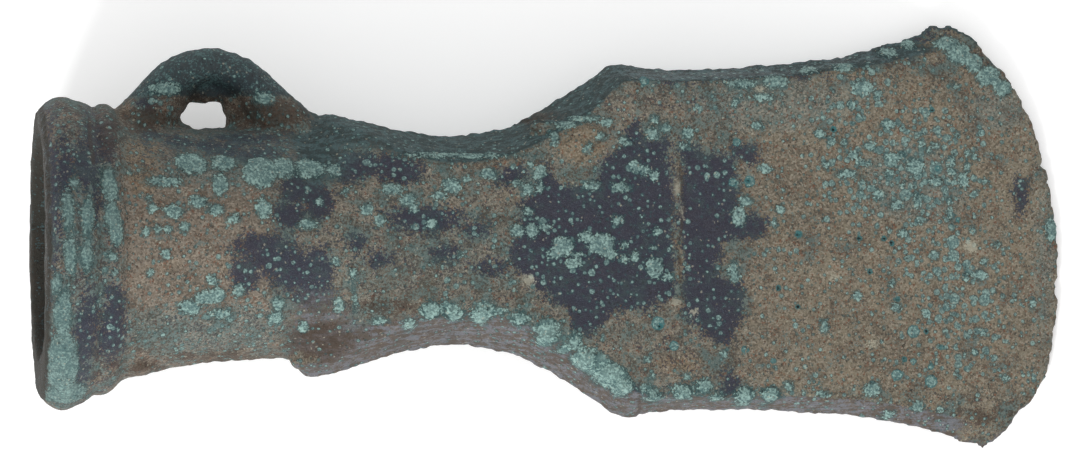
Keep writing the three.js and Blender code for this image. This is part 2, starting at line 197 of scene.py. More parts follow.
# Pale discs with deep blue-green rims: (x, y, radius).
RINGS = [
    (87.8, 11.9, 0.6), (87.2, 6.8, 0.6), (89.4, 6.9, 0.8), (77.3, -11, 0.9), (79.3, -13.8, 0.7),
    (95.7, 0.3, 0.6),
    (88.6, -14.3, 0.6), (92.2, -15.7, 0.5), (98.2, -18.7, 0.5),
    (110.6, -12, 0.9), (114.3, -14, 0.45),
    (112.8, -16.4, 0.5), (108.3, -17.5, 0.8), (112.8, -18.3, 0.9), (116.7, 2.2, 0.45), (114.1, 8.7, 0.45),
    (100.5, 13.6, 0.5), (110.5, -15.8, 0.5), (76, 19.6, 0.7),
]
CREAM_FLECKS = [
    (60.8, -5.5, 0.8, 0.7), (79.5, -8.3, 0.7, 0.5), (82, -9.6, 0.5, 0.5), (91, 18.6, 0.5, 0.4),
    (100.3, -5.1, 0.5, 0.4), (118.3, -1.2, 0.8, 0.8), (105, -13.5, 0.7, 0.6), (80, 6, 0.4, 0.8),
    (80.6, 3, 0.3, 0.6),
]
TAN_PATCHES = [
    (12.3, 9.5, 2.4, 4.2), (20.5, 22.6, 3.6, 0.35), (6.4, 0, 0.45, 12), (6.4, 9, 0.6, 2),
    (6.4, -11, 0.6, 1.6), (54, 11, 9, 0.8),
    (53.5, 9.2, 6.5, 0.5), (48, -7, 0.5, 1.3), (104.5, 21, 5.5, 0.7), (67.5, 11.5, 3.6, 2.4),
    (81, 6, 1.2, 5),
    (80.2, -3, 0.6, 5), (66.5, 7.2, 1.6, 0.6), (1, 12, 0.5, 0.8), (1, 2, 0.4, 0.7), (80, -16, 4, 1),
    (118, 22, 1, 1),
]
HAZE_PATCHES = [
    (23, 11.2, 9, 1.7), (38, 10.2, 6, 2),
    (26, 8.3, 11, 2.6), (23, 12.3, 13, 2), (20, -11.5, 11, 3), (4.5, -3, 3.6, 13), (92, 17, 11, 3.6),
    (122.5, 16.5, 3.6, 2.6), (128.2, -3, 1, 12), (52, 9.9, 6, 0.5),
    (104, 18.8, 3, 1.6), (111, 7, 7, 5), (70, -0.5, 4, 2), (64, -13, 4, 1.6), (83, -19.5, 12, 1.1),
]
# Soil in the corners by the loop, the wings and the collar, dark partly as painted shade: (x, y, half
# length, half width).
SOIL_AND_SHADE_PATCHES = [
    (35, -13, 4.4, 2.1), (13, -16, 4, 0.8), (23, -14.6, 7, 0.5), (42, -8.8, 5, 0.8),
    (13.5, 15.6, 3.6, 1.5), (28.5, 15.8, 4.6, 1.7), (21, 17.4, 4.5, 0.8),
    (31, 15.5, 3.5, 1.6), (120, -23, 2, 1), (8.5, 13.5, 1.3, 3), (62.5, 15.5, 2.4, 0.6),
    (13, 14.5, 2, 1.2),
]
OLIVE_PATCHES = [(48, -2, 12, 5), (44, -6.5, 5, 2.6), (68, 10, 4, 4), (8, 13, 2, 3), (24, -12, 14, 2)]
CRACKS = [
    (80.2, 10, 80.9, 3, 0.22), (80.9, 3, 80, -2, 0.2), (80, -2, 80.4, -8, 0.18),
    (75, -20.4, 75.7, -22, 0.3),
    (6, 9, 6.1, 15, 0.3), (71, 12.6, 68.5, 10.5, 0.2), (68.5, 10.5, 67, 8.8, 0.2),
]
# Crusted lumps, most of them on the edge of the lower wing: (x, y, radius, height).
WARTS = [
    (48.5, -9.3, 1.4, 0.35), (51.2, -9.4, 1.4, 0.3), (55, -9.6, 1.5, 0.35), (59.7, -10.3, 1.2, 0.3),
    (63.2, -11.9, 1.6, 0.4), (66.5, -13.4, 1.3, 0.35), (68.3, -15.4, 1.6, 0.45), (71.3, -17.3, 1.9, 0.5),
    (72.9, -18.9, 1.3, 0.4), (80.3, -19.5, 1.3, 0.3), (83, -19, 1.2, 0.3), (88.5, -20, 1.3, 0.25),
    (91.8, -19.8, 1.3, 0.3), (116, 24.8, 1.6, 0.25), (119, 22.6, 1.8, 0.25), (121.5, 20.3, 1.6, 0.2),
    (14, 12.8, 1.2, 0.3), (46, -11, 1, 0.25), (76.5, -19.8, 1, 0.3),
]
# A leaf-shaped lump of crust: (x, y, half length, half width, turn in degrees).
LEAF = (67.7, 11.3, 4.1, 2.5, 32)
# Shallow hollows: (x, y, half length, half width, depth).
HOLLOWS = [(44, -6.5, 4.5, 2.6, 0.35), (62, 3, 5, 5, 0.15), (50, 0, 8, 3, 0.12), (100, 2, 10, 6, 0.1)]
# Earth left in the corners of the loop, by the wings and under the collar: centre and half sizes.
EARTH_LUMPS = [
    (15.4, 14.8, -0.8, 3, 2.2, 2.6), (26.9, 14.8, -0.8, 3.1, 2.4, 2.6), (21.3, 19.1, -0.8, 4.2, 1.5, 2),
    (24.9, 16.9, -0.8, 1.5, 1.3, 2), (17.6, 17.2, -0.8, 1.4, 1.2, 2), (18.2, 13.9, -0.5, 1.2, 0.9, 2.4),
    (17.5, 13.4, -0.5, 3, 1, 2.6), (31.3, 15.2, 0, 3, 1.6, 2.4), (11.3, 14.4, -0.4, 2.3, 1.8, 3),
    (63.5, 13.9, 6.2, 2, 1, 1.4), (33.6, -15.2, 2, 2.2, 1.2, 2.6), (12.2, -15.6, 2, 2.4, 1.4, 4),
]

# The core stood a little towards the plain side.
CORE_SHIFT = 0.4
# How much further the dark patches reach than their outlines.
DARK_SPREAD = 0.3

# ---- The casting, remeshed ----
# How far the finished surface keeps inside the casting's box.
MARGIN = 0.01 * MM
VOXEL = 0.43 * MM
MOST_TRIANGLES = 190000


def deselect_all():
    for thing in bpy.context.selected_objects:
        thing.select_set(False)


def make_active(thing):
    deselect_all()
    thing.select_set(True)
    bpy.context.view_layer.objects.active = thing


def copy_of_casting():
    """The casting as one closed skin, in an object of its own."""
    node = frame["nodes"]["axe_head"]
    copy = bpy.data.objects.new("bronze_axe_head", node.data.copy())
    bpy.context.scene.collection.objects.link(copy)
    make_active(copy)
    bpy.ops.object.mode_set(mode="EDIT")
    bpy.ops.mesh.select_all(action="SELECT")
    bpy.ops.mesh.remove_doubles(threshold=1e-6)
    bpy.ops.object.mode_set(mode="OBJECT")
    return copy


def earth_lump(x, y, z, long, wide, high):
    deselect_all()
    bpy.ops.mesh.primitive_ico_sphere_add(subdivisions=4, radius=MM, location=from_axe(x, y, z))
    lump = bpy.context.active_object
    lump.scale = (long, wide, high)
    bpy.ops.object.transform_apply(location=True, rotation=True, scale=True)
    return lump


def remeshed_casting():
    casting = copy_of_casting()
    lumps = [earth_lump(*row) for row in EARTH_LUMPS]
    make_active(casting)
    for lump in lumps:
        lump.select_set(True)
    bpy.ops.object.join()
    remesh = casting.modifiers.new("skin", "REMESH")
    remesh.mode = "VOXEL"
    remesh.voxel_size = VOXEL
    bpy.ops.object.modifier_apply(modifier=remesh.name)
    soften = casting.modifiers.new("soften", "SMOOTH")
    soften.factor = 0.5
    soften.iterations = 2
    bpy.ops.object.modifier_apply(modifier=soften.name)
    return casting


# ---- Fields over the surface, in millimetres: positive inside a patch ----
def ellipses(x, y, rows):
    best = np.full(len(x), -3.0)
    for cx, cy, long, wide in rows:
        off = np.hypot((x - cx) / long, (y - cy) / wide)
        best = np.maximum(best, (1 - off) * min(long, wide))
    return best


def distance_to_line(x, y, x1, y1, x2, y2):
    dx, dy = x2 - x1, y2 - y1
    along = np.clip(((x - x1) * dx + (y - y1) * dy) / (dx * dx + dy * dy), 0, 1)
    return np.hypot(x - x1 - along * dx, y - y1 - along * dy)


def streaks(x, y, rows):
    best = np.full(len(x), -3.0)
    for x1, y1, x2, y2, wide in rows:
        best = np.maximum(best, wide - distance_to_line(x, y, x1, y1, x2, y2))
    return best


def outline_field(x, y, corners):
    nearest = np.full(len(x), 99.0)
    inside = np.zeros(len(x), bool)
    for (x1, y1), (x2, y2) in zip(corners, corners[1:] + corners[:1]):
        nearest = np.minimum(nearest, distance_to_line(x, y, x1, y1, x2, y2))
        crosses = (y1 > y) != (y2 > y)
        reach = (x2 - x1) * (y - y1) / (y2 - y1 if y2 != y1 else 1e-9) + x1
        inside ^= crosses & (x < reach)
    return np.clip(np.where(inside, nearest, -nearest), -3, 3)


def bump(x, y, cx, cy, radius):
    off = np.hypot(x - cx, y - cy) / radius
    return np.clip(1 - off * off, 0, 1) ** 2


def smooth(value, low, high):
    t = np.clip((value - low) / (high - low), 0, 1)
    return t * t * (3 - 2 * t)


def rough(places, size, octaves=3, shift=0.0):
    """Noise from about -1 to 1 at each place, in lumps of that size in millimetres."""
    offset = Vector((shift, 2 * shift, -shift))
    return np.array([
        noise.fractal(Vector(p) / size + offset, 0.7, 2.1, octaves) for p in places.tolist()
    ])


def back_rows(rng, count, low, high):
    """Patches strewn over the hidden back, plainer than the front's."""
    return [
        (rng.uniform(10, 126), rng.uniform(-19, 19), *rng.uniform(low, high, 2)) for _ in range(count)
    ]


def back_patches(x, y):
    """The patches on the back, strewn from one seed."""
    rng = np.random.default_rng(SEED)
    kinds = {
        "dark": (16, 1.5, 6),
        "mint": (110, 0.35, 1.3),
        "tan": (12, 1, 4),
        "haze": (8, 2, 6),
        "soil_and_shade": (6, 1, 3),
        "olive": (7, 3, 8),
    }
    return {name: ellipses(x, y, back_rows(rng, *sizes)) for name, sizes in kinds.items()}


def front_patches(x, y, warp_x, warp_y):
    """The patches on the front, most of them with wandering edges."""
    dark = ellipses(warp_x, warp_y, DARK_PATCHES)
    for corners in (DARK_MIDDLE, DARK_RIGHT):
        dark = np.maximum(dark, outline_field(warp_x, warp_y, corners))
    return {
        "dark": dark + DARK_SPREAD,
        "mint": ellipses(0.5 * (warp_x + x), 0.5 * (warp_y + y), MINT_PATCHES),
        "tan": ellipses(warp_x, warp_y, TAN_PATCHES),
        "haze": ellipses(warp_x, warp_y, HAZE_PATCHES),
        "soil_and_shade": ellipses(warp_x, warp_y, SOIL_AND_SHADE_PATCHES),
        "olive": ellipses(warp_x, warp_y, OLIVE_PATCHES),
    }


def front_marks(x, y, warp_x, warp_y):
    """The small marks that only the front has."""
    wing_warts = [(cx, cy, r, 0.8 * r) for cx, cy, r, _ in WARTS if cy < 0]
    return {
        "cream": ellipses(x, y, CREAM_FLECKS),
        "crack": streaks(warp_x * 0.4 + x * 0.6, y, CRACKS),
        "pit": ellipses(x, y, [(cx, cy, 0.45, 0.45) for cx, cy in PITS]),
        "wart": ellipses(warp_x, warp_y, wing_warts),
        "ring": ellipses(x, y, [(cx, cy, r, r) for cx, cy, r in RINGS]),
    }


def spot_size(places, dark):
    """How large and how many the strewn spots are, thickest on the blade's outer part."""
    x, y, _ = places.T
    dense = np.maximum(
        ellipses(x, y, [(108, 11, 14, 11)]) / 9, ellipses(x, y, [(116, -7, 10, 12)]) / 9,
    )
    size = 0.96 + 0.6 * np.clip(dense, -0.2, 0.9) + 0.25 * rough(places, 7, 2, 5)
    return np.clip(size + 0.12 * (dark > 0.3), 0.25, 1.5)


def mottling(places, warp_y):
    """How mottled the crust is: little on the neck's middle, the blade and the leaf-shaped lump."""
    x, y, z = places.T
    neck_middle = smooth(x, 9, 11) * smooth(x, 30, 25) * smooth(np.abs(warp_y + 1), 9.5, 6.5)
    blade = smooth(x, 84, 94) * smooth(np.abs(y), 22, 18)
    cx, cy, long, wide, _ = LEAF
    leaf = smooth(1.2 - np.hypot((x - cx) / long, (y - cy) / wide), 0, 0.3)
    share = 0.68 - 0.55 * neck_middle - 0.5 * blade + 0.2 * (x < 9) - 0.5 * leaf * (z > 0)
    return np.clip(share, 0.05, 1)


def patch_fields(places):
    """Every patch field of the crust at the places given."""
    x, y, z = places.T
    warp_x = x + 0.35 * rough(places, 1.6, 3, 11) + 0.5 * rough(places, 5, 2, 31)
    warp_y = y + 0.35 * rough(places, 1.6, 3, 23) + 0.5 * rough(places, 5, 2, 47)
    back = back_patches(warp_x, warp_y)
    front = front_patches(x, y, warp_x, warp_y)
    fields = {name: np.where(z > 0, front[name], back[name]) for name in front}
    for name, mark in front_marks(x, y, warp_x, warp_y).items():
        fields[name] = mark + np.where(z > 0, 0.0, -3.0)
    fields["spots"] = spot_size(places, front["dark"])
    fields["mottle"] = mottling(places, warp_y)
    return fields


# ---- Relief ----
def crust_lift(places, fields, ragged):
    """The crust's own unevenness, lower where the patina is bare and higher under each growth."""
    lift = 0.13 * rough(places, 6, 3, 1) + 0.07 * rough(places, 1.7, 3, 2) + 0.035 * rough(places, 0.8, 2, 3)
    lift -= 0.1 * smooth(fields["dark"] + ragged, -0.15, 0.25)
    lift += 0.13 * smooth(fields["mint"] + ragged, -0.1, 0.25)
    lift += 0.08 * smooth(fields["tan"] + ragged, -0.2, 0.4)
    lift += 0.1 * smooth(fields["soil_and_shade"] + ragged, -0.3, 0.6) * (1 + 2 * rough(places, 1.1, 3, 4))
    return lift - 0.16 * smooth(fields["crack"], -0.3, 0.2)


def lump_lift(x, y, ragged):
    """The crusted lumps, the shallow hollows and the pits."""
    lift = np.zeros(len(x))
    for cx, cy, radius, height in WARTS:
        lift += height * bump(x, y, cx, cy, radius) * (1 + 0.5 * ragged)
    for cx, cy, long, wide, deep in HOLLOWS:
        lift -= deep * bump((x - cx) / long, (y - cy) / wide, 0, 0, 1)
    for cx, cy in PITS:
        lift -= 0.35 * bump(x, y, cx, cy, 0.55)
    return lift


def disc_lift(x, y):
    """A raised rim and middle on each disc of corrosion."""
    discs = RINGS + [
        (cx, cy, 1.1 * min(long, wide)) for cx, cy, long, wide in MINT_PATCHES if min(long, wide) > 0.45
    ]
    lift = np.zeros(len(x))
    for cx, cy, radius in discs:
        off = np.hypot(x - cx, y - cy) / radius
        lift += 0.07 * (np.exp(-((off - 0.9) * 3) ** 2) + 0.6 * np.exp(-(off * 2) ** 2))
    return lift


def leaf_lift(x, y):
    cx, cy, long, wide, turn = LEAF
    c, s = math.cos(math.radians(turn)), math.sin(math.radians(turn))
    u = (x - cx) * c + (y - cy) * s
    v = (y - cy) * c - (x - cx) * s
    return 0.4 * smooth(1 - np.hypot(u / long, v / wide), -0.05, 0.35)


def seam_lift(places, normals):
    """The beads left by the casting seam along both sides."""
    x, _, z = places.T
    outward = smooth(np.abs(normals[:, 1]), 0.55, 0.9)
    beads = np.clip(0.55 + 0.9 * rough(places * (1, 0, 0), 1.3, 2, 6), 0.1, 1.4)
    return 0.26 * outward * beads * np.exp(-((z / 0.7) ** 2)) * smooth(x, 11, 16) * smooth(x, 116, 106)


def mouth_lift(places):
    """Extra unevenness inside the mouth."""
    x, y, z = places.T
    inside = smooth(np.hypot(y + CORE_SHIFT, z), 13.5, 12.5) * (x < 20)
    return 0.12 * inside * rough(places, 1.4, 3, 8)


def relief(places, normals, fields):
    """How far each vertex moves out along its normal, in millimetres."""
    x, y, z = places.T
    ragged = 0.25 * rough(places, 0.9, 2, 9)
    front = lump_lift(x, y, ragged) + disc_lift(x, y) + leaf_lift(x, y)
    lift = crust_lift(places, fields, ragged) + np.where(z > 0, front, 0.0)
    return lift + seam_lift(places, normals) + mouth_lift(places)


def nick_edge(places):
    """Small nicks along the cutting edge, as millimetres to pull back along x."""
    x, y, _ = places.T
    reach = np.interp(
        y, [-27, -24, -18, -8, 0, 8, 16, 22, 27], [120, 124, 128, 129.8, 130, 129, 125.6, 121.5, 116],
    )
    near = smooth(reach - x, 2.6, 0.3)
    line = places * (0, 1, 0)
    depth = np.clip(rough(line, 2.6, 3, 14), 0, 1) * 0.7 + np.clip(rough(line, 0.9, 2, 17), 0, 1) * 0.35
    return near * depth * smooth(np.abs(y - 0.3), 26.5, 23)


def side_fields(places, normals):
    """Where the side facets, the loop and the socket are, from 0 to 1, and x itself."""
    along, across, above = places.T
    facing = normals[:, 0] * math.sin(SLOPE) + normals[:, 2] * math.cos(SLOPE)
    middle = np.hypot(across + CORE_SHIFT, above)
    waist = smooth(along, 28, 35)
    neck = np.maximum(waist, 0.35 * (along > 9))
    inside = (middle < 14.8 - 0.16 * along) & (along < 75) & (along > -1)
    wall = np.where(above > 0, normals[:, 2], -normals[:, 2]) < 0.1
    radial = normals[:, 1] * (across + CORE_SHIFT) + facing * above
    return {
        "x": along,
        "upper": smooth(normals[:, 1], 0.3, 0.75) * neck * (middle > 8.4),
        "lower": smooth(-normals[:, 1], 0.3, 0.75) * waist * (middle > 8.4),
        "loop": smooth(across, 17.6, 18.6) * smooth(along, 8, 11) * smooth(along, 34, 31),
        "socket": (inside & wall & (radial < 0) | (along < 0.6)).astype(float),
    }


def vertex_rows(mesh, name):
    """A vector that every vertex has, one a row."""
    flat = np.empty(len(mesh.vertices) * 3)
    mesh.vertices.foreach_get(name, flat)
    return flat.reshape(-1, 3)


def sculpt(casting):
    """Gives the casting its relief, and stores the fields that its finish reads."""
    mesh = casting.data
    points = vertex_rows(mesh, "co")
    normals = vertex_rows(mesh, "normal")
    places = to_axe(points)
    fields = patch_fields(places)
    points += normals * relief(places, normals, fields)[:, None] * MM
    points[:, 0] -= nick_edge(places) * MM
    low, high = [np.array(corner) for corner in cad_box]
    points = np.clip(points, low + MARGIN, high - MARGIN)
    mesh.vertices.foreach_set("co", points.ravel())
    mesh.update()
    fields.update(side_fields(places, normals))
    for name, values in fields.items():
        layer = mesh.attributes.new("crust_" + name, "FLOAT", "POINT")
        layer.data.foreach_set("value", np.ascontiguousarray(values, dtype=np.float32))


def slim(casting):
    """Thins the mesh to about MOST_TRIANGLES triangles, then shades it smooth. Thins
    the mesh to the number of triangles that a piece may have.
    """
    triangles = sum(len(face.vertices) - 2 for face in casting.data.polygons)
    if triangles > MOST_TRIANGLES:
        thin = casting.modifiers.new("thin", "DECIMATE")
        thin.ratio = MOST_TRIANGLES / triangles
        make_active(casting)
        bpy.ops.object.modifier_apply(modifier=thin.name)
    print("axe triangles", triangles, "to", len(casting.data.polygons))
    make_active(casting)
    bpy.ops.object.shade_smooth()


# ---- Shader maths ----
class Signal:
    """A socket's value in a material, with arithmetic that adds the nodes it needs."""

    def __init__(self, tree, socket):
        self.tree = tree
        self.socket = socket

    def node(self, kind, settings=None, out=0, **sockets):
        made = self.tree.nodes.new(kind)
        for name, value in (settings or {}).items():
            setattr(made, name, value)
        for name, value in sockets.items():
            key = int(name[1:]) if name[0] == "i" and name[1:].isdigit() else name.replace("_", " ")
            target = made.inputs[key]
            if isinstance(value, Signal):
                self.tree.links.new(value.socket, target)
            else:
                target.default_value = value
        return None if out is None else Signal(self.tree, made.outputs[out])

    def math(self, operation, first, second):
        return self.node("ShaderNodeMath", {"operation": operation}, i0=first, i1=second)

    def __add__(self, other):
        return self.math("ADD", self, other)

    def __radd__(self, other):
        return self.math("ADD", other, self)

    def __sub__(self, other):
        return self.math("SUBTRACT", self, other)

    def __rsub__(self, other):
        return self.math("SUBTRACT", other, self)

    def __mul__(self, other):
        return self.math("MULTIPLY", self, other)

    def __rmul__(self, other):
        return self.math("MULTIPLY", other, self)

    def ramp(self, low, high):
        """0 below low, 1 above high, and smooth between."""
        return self.node(
            "ShaderNodeMapRange", {"interpolation_type": "SMOOTHSTEP"},
            Value=self, From_Min=low, From_Max=high, To_Min=0.0, To_Max=1.0,
        )


def linear(red, green, blue):
    """A colour as the eye names it, as the light it stands for."""
    def channel(value):
        return value / 12.92 if value <= 0.04045 else ((value + 0.055) / 1.055) ** 2.4
    return (channel(red), channel(green), channel(blue), 1.0)


def mix(amount, below, above):
    """The colour below, covered by the one above as far as amount says."""
    return amount.node("ShaderNodeMix", {"data_type": "RGBA"}, out=2, i0=amount, i6=below, i7=above)


# ---- The finish ----
BROWN = linear(0.475, 0.447, 0.384)
BROWN_INNER = linear(0.425, 0.402, 0.365)
SAND = linear(0.47, 0.435, 0.39)
BROWN_DEEP = linear(0.33, 0.305, 0.265)
OLIVE = linear(0.405, 0.41, 0.375)
OLIVE_DARK = linear(0.22, 0.225, 0.205)
BROWN_DARK = linear(0.27, 0.235, 0.195)
WAIST_SAND = linear(0.50, 0.485, 0.43)
BROWN_WARM = linear(0.41, 0.34, 0.28)
GRAIN_RED = linear(0.42, 0.25, 0.17)
TEAL_DEEP = linear(0.13, 0.27, 0.28)
DARK_BLUE = linear(0.125, 0.13, 0.20)
DARK_GREEN = linear(0.165, 0.215, 0.235)
MINT = linear(0.42, 0.52, 0.505)
MINT_PALE = linear(0.60, 0.72, 0.69)
HAZE = linear(0.39, 0.445, 0.43)
TAN = linear(0.51, 0.44, 0.345)
# Soil, darkened partly as painted shade.
SOIL_AND_SHADE = linear(0.235, 0.19, 0.155)
SOIL_RED = linear(0.35, 0.285, 0.235)
# Side facets' patina: the upper ones darkened as painted shade, the lower ones paled as painted light.
SHADED_TEAL_PATINA = linear(0.27, 0.36, 0.37)
SHADED_DARK_PATINA = linear(0.16, 0.215, 0.22)
LIT_GREY_PATINA = linear(0.41, 0.42, 0.445)
LOWER_BROWN = linear(0.30, 0.255, 0.225)
TEAL = linear(0.30, 0.41, 0.41)
SLATE = linear(0.34, 0.39, 0.43)
PALE_SAND = linear(0.60, 0.56, 0.50)
TURQUOISE = linear(0.19, 0.40, 0.41)
CREAM = linear(0.66, 0.65, 0.58)
BLACK = linear(0.09, 0.09, 0.09)
# Earth in the socket, darkened as painted shade.
SOCKET_EARTH_AND_SHADE = linear(0.19, 0.175, 0.15)


class Crust:
    """The noises, grains and patches that the finish is made of, in millimetres."""

    def __init__(self, tree):
        self.start = Signal(tree, None)
        place = self.start.node("ShaderNodeTexCoord", out=3)
        self.mm = self.start.node(
            "ShaderNodeVectorMath", {"operation": "SCALE"}, i0=place, Scale=1 / MM,
        )
        self.fine = self.grain(3.2, 4.0, 0.7) - 0.5
        self.tiny = self.grain(8.0, 2.0, 0.6) - 0.5
        self.broad = self.grain(0.35, 3.0, 0.55) - 0.5
        self.blotch = self.grain(0.9, 4.0, 0.65) - 0.5
        self.streak = self.stretched(0.25, 1.6) - 0.5
        _, self.sand, self.kind, self.other = self.cells(4.6)
        self.dither = self.sand - 0.5
        self.flecks = self.blotch + self.fine * 2.2 + self.dither * 0.2
        self.tints = self.fine * 1.8 + self.blotch * 0.8 + self.dither * 0.3
        self.outside = 1 - self.field("socket")
        self.dark = self.patch("dark", 1.2)
        self.mint = self.patch("mint", 0.32, 0.08)

    def grain(self, scale, detail, roughness):
        return self.start.node(
            "ShaderNodeTexNoise", Vector=self.mm, Scale=scale, Detail=detail, Roughness=roughness,
        )

    def stretched(self, long, short):
        """Noise drawn out along the axe."""
        drawn = self.start.node(
            "ShaderNodeMapping", i0=self.mm, Scale=(long, short, short), Rotation=(0, SLOPE, 0),
        )
        return self.start.node("ShaderNodeTexNoise", Vector=drawn, Scale=1.0, Detail=4.0, Roughness=0.65)

    def cells(self, scale):
        """Small cells, each with lots of its own: distance to its middle, then three lots from 0 to 1."""
        near = self.start.node("ShaderNodeTexVoronoi", Vector=self.mm, Scale=scale)
        colour = Signal(near.tree, near.socket.node.outputs["Color"])
        return (near, *[near.node("ShaderNodeSeparateColor", out=n, i0=colour) for n in range(3)])

    def field(self, name):
        return self.start.node("ShaderNodeAttribute", {"attribute_name": "crust_" + name}, out=2)

    def patch(self, name, spread, soft=0.12):
        """A patch whose edge breaks up into grains over about that many millimetres."""
        broken = self.blotch * (2.4 * spread) + self.fine * (3.4 * spread) + self.tiny * (1.6 * spread)
        return (self.field(name) + broken + self.dither * (0.7 * spread)).ramp(-soft, soft)

    def strewn(self, scale, least, share):
        """Round spots of corrosion of all sizes: how far inside one a point is, in millimetres."""
        near, lot, _, _ = self.cells(scale)
        size = (lot * self.field("spots") - least) * share
        return (size - near + self.fine * 0.22 + self.tiny * 0.1) * (1 / scale)


def packed_earth(crust):
    """The brown of the earth and its grains, sandier on the neck and the waist."""
    blotch, broad, fine, sand = crust.blotch, crust.broad, crust.fine, crust.sand
    along = crust.field("x")
    slow = crust.grain(0.11, 3.0, 0.5) - 0.5
    colour = mix(along.ramp(70.0, 100.0), BROWN_INNER, BROWN)
    colour = mix(along.ramp(34.0, 22.0), colour, SAND)
    colour = mix((blotch + broad * 1.2).ramp(-0.05, 0.25) * 0.6, colour, BROWN_WARM)
    colour = mix((broad * -1.0 + fine * 0.4).ramp(0.0, 0.3) * 0.4, colour, TAN)
    colour = mix(along.ramp(28.0, 36.0) * along.ramp(92.0, 74.0) * 0.55, colour, WAIST_SAND)
    colour = mix((slow * 1.5 + blotch * 0.7).ramp(-0.02, 0.3) * 0.45, colour, BROWN_DEEP)
    colour = mix(crust.patch("olive", 1.2, 0.8) * 0.75, colour, OLIVE)
    colour = mix(crust.patch("haze", 1.8, 0.6) * 0.6, colour, HAZE)
    colour = mix(crust.patch("tan", 1.0, 0.3) * 0.6, colour, TAN)
    colour = mix((0.45 - sand).ramp(0.0, 0.42) * 0.6, colour, BROWN_DARK)
    colour = mix((sand - 0.55).ramp(0.0, 0.42) * 0.55, colour, PALE_SAND)
    return mix((0.08 - crust.kind).ramp(0.0, 0.02) * 0.6, colour, GRAIN_RED)


def mottled(crust, colour):
    """Small dark and blue-green stains through the earth."""
    blotch, broad, fine, dither = crust.blotch, crust.broad, crust.fine, crust.dither
    mottle = crust.field("mottle")
    stain = mix((broad * 1.4 + fine).ramp(-0.12, 0.12), DARK_BLUE, OLIVE_DARK)
    stained = (crust.flecks + broad * 0.6 + mottle * 0.42).ramp(0.32, 0.38)
    green = broad * 1.6 - blotch * 1.2 - fine * 1.8 + dither * 0.18 + mottle * 0.38
    colour = mix(stained * 0.78, colour, stain)
    return mix(green.ramp(0.34, 0.44) * 0.6, colour, TEAL)


def dark_patina(crust, colour):
    """Bare dark patina, blue in most places and green in some."""
    blotch, broad, dither = crust.blotch, crust.broad, crust.dither
    patina = mix((blotch * 1.5 + broad + dither * 0.1).ramp(-0.02, 0.3), DARK_BLUE, DARK_GREEN)
    patina = mix((crust.tiny + crust.fine + dither * 0.1).ramp(0.08, 0.2) * 0.4, patina, SLATE)
    return mix(crust.dark * 0.93, colour, patina)


def sides(crust, colour):
    """The loop, the streaked side facets, darker above as painted shade and paler below as painted light,
    and the soil packed in the corners, darkened partly as painted shade.
    """
    blotch, fine, dither = crust.blotch, crust.fine, crust.dither
    loop = (crust.field("loop") + blotch + fine * 1.5 + dither * 0.2).ramp(0.3, 0.6)
    upper = (crust.field("upper") + fine * 0.8 + dither * 0.15).ramp(0.15, 0.75)
    lower = (crust.field("lower") + fine * 0.8 + dither * 0.15).ramp(0.15, 0.75)
    streaky = (blotch * 1.2 + crust.streak + fine * 0.8 + dither * 0.1).ramp(-0.12, 0.18)
    soil_and_shade_tint = (fine + blotch + dither * 0.2).ramp(0.05, 0.25)
    colour = mix(loop * 0.9, colour, mix((crust.flecks + crust.broad).ramp(0.0, 0.25), DARK_GREEN, TEAL))
    # Upper facets darker as painted shade, lower facets paler as painted light, over their own patina.
    colour = mix(upper * 0.92, colour, mix(streaky, SHADED_DARK_PATINA, SHADED_TEAL_PATINA))
    colour = mix(lower * 0.85, colour, mix(streaky, LOWER_BROWN, LIT_GREY_PATINA))
    # The soil in the corners is darker partly as painted shade.
    return mix(crust.patch("soil_and_shade", 1.2, 0.3) * 0.72, colour, mix(soil_and_shade_tint, SOIL_AND_SHADE, SOIL_RED))


def pale_green(crust):
    pale = mix(crust.tints.ramp(-0.25, 0.05), TEAL, MINT)
    return mix(crust.tints.ramp(0.0, 0.28) * 0.85, pale, MINT_PALE)


def growths(crust, colour, pale):
    """Pale green corrosion: strewn spots, patches with deep rims, and crusted lumps."""
    fine, dither, outside = crust.fine, crust.dither, crust.outside
    for row in ((1.35, 0.15, 0.5), (0.82, 0.32, 0.52), (0.5, 0.58, 0.62)):
        spot = crust.strewn(*row)
        colour = mix(spot.ramp(-0.1, -0.02) * 0.55 * outside, colour, TEAL_DEEP)
        colour = mix(spot.ramp(0.0, 0.06) * 0.75 * outside, colour, pale)
    rim = (crust.field("mint") + fine * 1.4 + dither * 0.3).ramp(-0.32, -0.1)
    off_collar = crust.field("x").ramp(7.0, 11.0)
    wart = crust.field("wart") + crust.blotch * 1.6 + fine * 2.4 + dither * 0.4
    colour = mix(rim * 0.6 * outside, colour, TEAL_DEEP)
    colour = mix(crust.mint * (0.62 + off_collar * 0.3), colour, pale)
    colour = mix(wart.ramp(-0.3, 0.0) * 0.6, colour, TEAL_DEEP)
    return mix(wart.ramp(0.0, 0.5) * 0.8, colour, mix(crust.tints.ramp(-0.1, 0.3), MINT, MINT_PALE))


